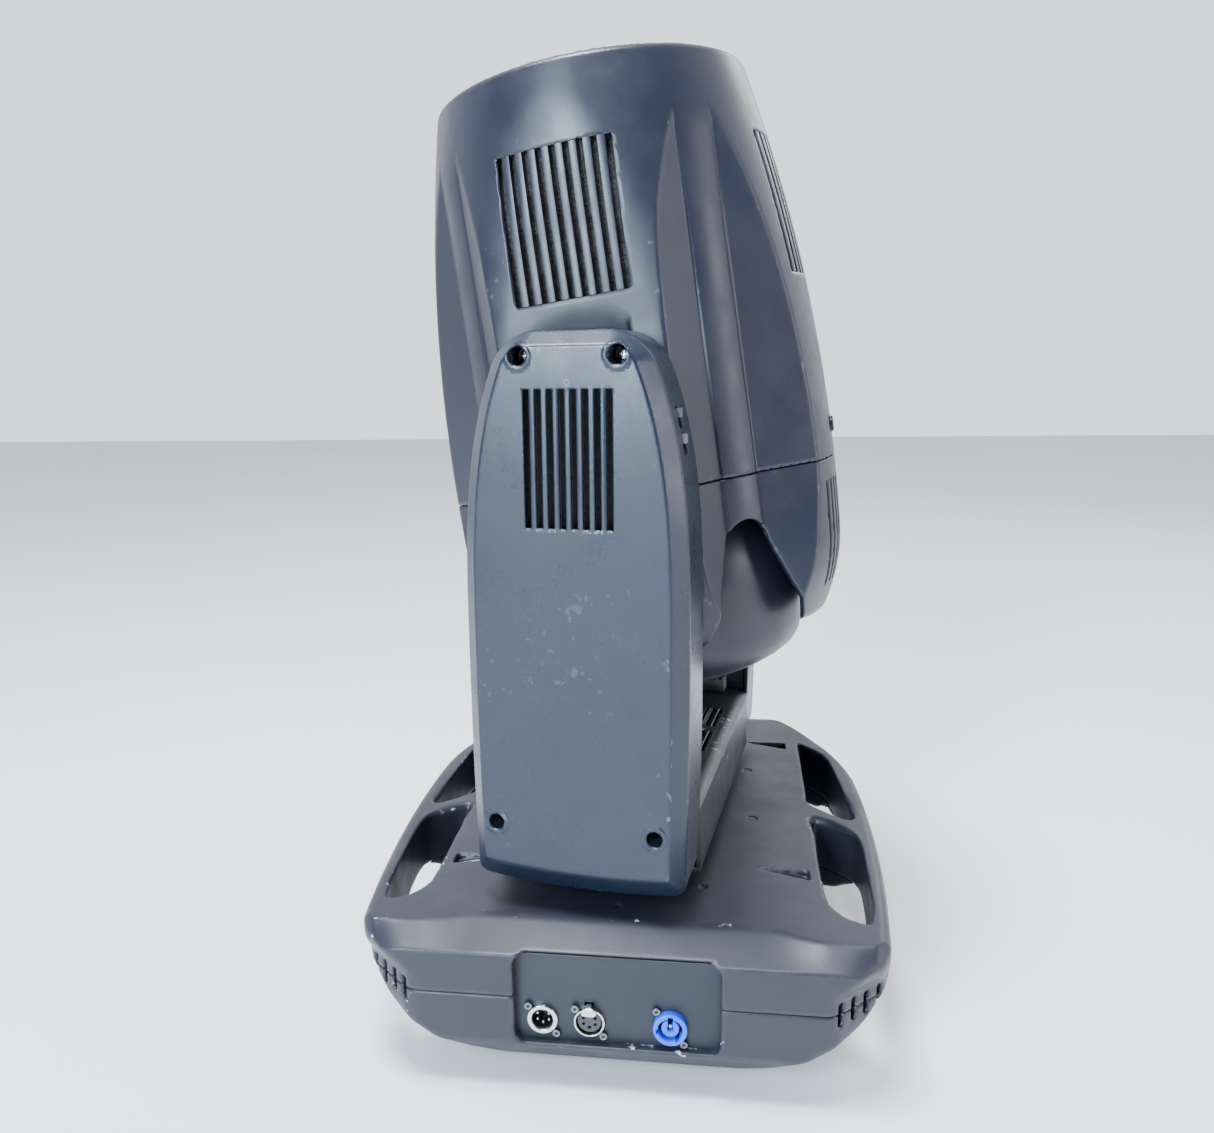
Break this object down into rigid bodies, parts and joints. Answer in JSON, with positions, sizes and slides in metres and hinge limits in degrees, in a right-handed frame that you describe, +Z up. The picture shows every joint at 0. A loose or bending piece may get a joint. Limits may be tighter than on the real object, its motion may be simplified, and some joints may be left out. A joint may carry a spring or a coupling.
{
  "type": "moving head light",
  "caption": "Moving head wash light: the head tilts in a two-arm yoke, which pans on a base with side handles, data and power sockets and a menu.",
  "frame": {"origin": "under the middle of the base, on the plane that the feet stand on; the pan axis is 12 mm towards the connectors", "axes": "+Z up along the pan axis, +Y from the connector side to the menu side, +X towards the right handle seen from the connectors"},
  "size_m": [0.399, 0.488, 0.7294],
  "materials": {
    "shell": "satin moulded",
    "dark_plastic": "matt moulded",
    "steel": "zinc plated",
    "machined": "machined",
    "painted": "fine texture black",
    "chromed": "nickel plated",
    "inlet_blue": "glossy moulded",
    "rubber": "matt",
    "board": "solder mask",
    "screen": "polished",
    "lens": "polished",
    "button_plastic": "matt moulded"
  },
  "bodies": {
    "base": {"base_lower_housing": "shell", "base_upper_housing": "shell", "base_plate": "steel", "rubber_feet": "rubber", "base_chassis": "steel", "power_supply": "machined", "control_board": "board", "base_screws": "steel", "connector_panel": "painted", "data_in_connector": "chromed", "data_thru_connector": "chromed", "power_inlet": "inlet_blue", "menu_panel": "dark_plastic", "menu_screen": "screen", "pan_spindle": "steel", "pan_pulley": "machined"},
    "yoke": {"yoke_frame": "machined", "yoke_top_cover": "shell", "yoke_bottom_cover": "shell", "arm_cover_near": "shell", "arm_cover_far": "shell", "arm_cover_screws": "steel", "pan_bearing": "steel", "tilt_bearings": "steel", "pan_motor": "dark_plastic", "pan_belt": "rubber", "tilt_motor": "dark_plastic", "tilt_belt": "rubber", "motor_driver_board": "board"},
    "head": {"head_front_shroud": "shell", "head_rear_shroud": "shell", "tail_housing": "shell", "tail_cap": "shell", "shroud_fasteners": "steel", "head_chassis": "machined", "trunnions": "steel", "tilt_pulley": "machined", "heat_sink": "machined", "led_array": "board", "zoom_rods": "steel", "zoom_motor": "dark_plastic", "lens_plate": "painted", "front_lenses": "lens", "front_bezel": "dark_plastic", "fan_frame": "dark_plastic", "head_board": "board"},
    "zoom": {"zoom_carriage": "machined", "zoom_lenses": "lens", "zoom_screw": "steel"},
    "pan_pinion": {"pan_pinion": "machined"},
    "tilt_pinion": {"tilt_pinion": "machined"},
    "fan_rotor": {"fan_rotor": "dark_plastic"},
    "pan_lock": {"pan_lock": "steel"},
    "tilt_lock": {"tilt_lock": "steel"},
    "data_thru_latch": {"data_thru_latch": "chromed"},
    "menu_button_up": {"menu_button_up": "button_plastic"},
    "menu_button_down": {"menu_button_down": "button_plastic"},
    "menu_button_left": {"menu_button_left": "button_plastic"},
    "menu_button_right": {"menu_button_right": "button_plastic"},
    "menu_button_enter": {"menu_button_enter": "button_plastic"}
  },
  "joints": [
    {"name": "pan", "type": "hinge", "parent": "base", "child": "yoke", "pos_m": [0, -0.012, 0.134], "axis": [0, 0, 1], "range_deg": [-261, 279]},
    {"name": "tilt", "type": "hinge", "parent": "yoke", "child": "head", "pos_m": [0, -0.012, 0.443], "axis": [0.1564, 0.9877, 0], "range_deg": [-127, 143]},
    {"name": "pan_pinion_spin", "type": "hinge", "parent": "yoke", "child": "pan_pinion", "pos_m": [-0.01439, -0.10287, 0.16], "axis": [0, 0, 1], "continuous": true},
    {"name": "tilt_pinion_spin", "type": "hinge", "parent": "yoke", "child": "tilt_pinion", "pos_m": [-0.02503, -0.17003, 0.25], "axis": [0.1564, 0.9877, 0], "continuous": true},
    {"name": "zoom_slide", "type": "slide", "parent": "head", "child": "zoom", "axis": [-0.1375, 0.0218, 0.9903], "range_m": [-0.03, 0.04]},
    {"name": "fan_spin", "type": "hinge", "parent": "head", "child": "fan_rotor", "pos_m": [0.01375, -0.01418, 0.34397], "axis": [-0.1375, 0.0218, 0.9903], "continuous": true},
    {"name": "pan_lock_slide", "type": "slide", "parent": "yoke", "child": "pan_lock", "axis": [0.9877, -0.1564, 0], "range_m": [0, 0.008]},
    {"name": "tilt_lock_slide", "type": "slide", "parent": "yoke", "child": "tilt_lock", "axis": [0, 0, 1], "range_m": [-0.006, 0]},
    {"name": "data_thru_latch_press", "type": "slide", "parent": "base", "child": "data_thru_latch", "axis": [0, 1, 0], "range_m": [0, 0.0015], "stiffness_N_per_m": 400},
    {"name": "menu_button_up_press", "type": "slide", "parent": "base", "child": "menu_button_up", "axis": [0, -1, 0], "range_m": [0, 0.0015], "stiffness_N_per_m": 400},
    {"name": "menu_button_down_press", "type": "slide", "parent": "base", "child": "menu_button_down", "axis": [0, -1, 0], "range_m": [0, 0.0015], "stiffness_N_per_m": 400},
    {"name": "menu_button_left_press", "type": "slide", "parent": "base", "child": "menu_button_left", "axis": [0, -1, 0], "range_m": [0, 0.0015], "stiffness_N_per_m": 400},
    {"name": "menu_button_right_press", "type": "slide", "parent": "base", "child": "menu_button_right", "axis": [0, -1, 0], "range_m": [0, 0.0015], "stiffness_N_per_m": 400},
    {"name": "menu_button_enter_press", "type": "slide", "parent": "base", "child": "menu_button_enter", "axis": [0, -1, 0], "range_m": [0, 0.0015], "stiffness_N_per_m": 400}
  ],
  "couplings": [
    {"joint": "pan_pinion_spin", "follows": "pan", "ratio": -3.6},
    {"joint": "tilt_pinion_spin", "follows": "tilt", "ratio": 4}
  ]
}
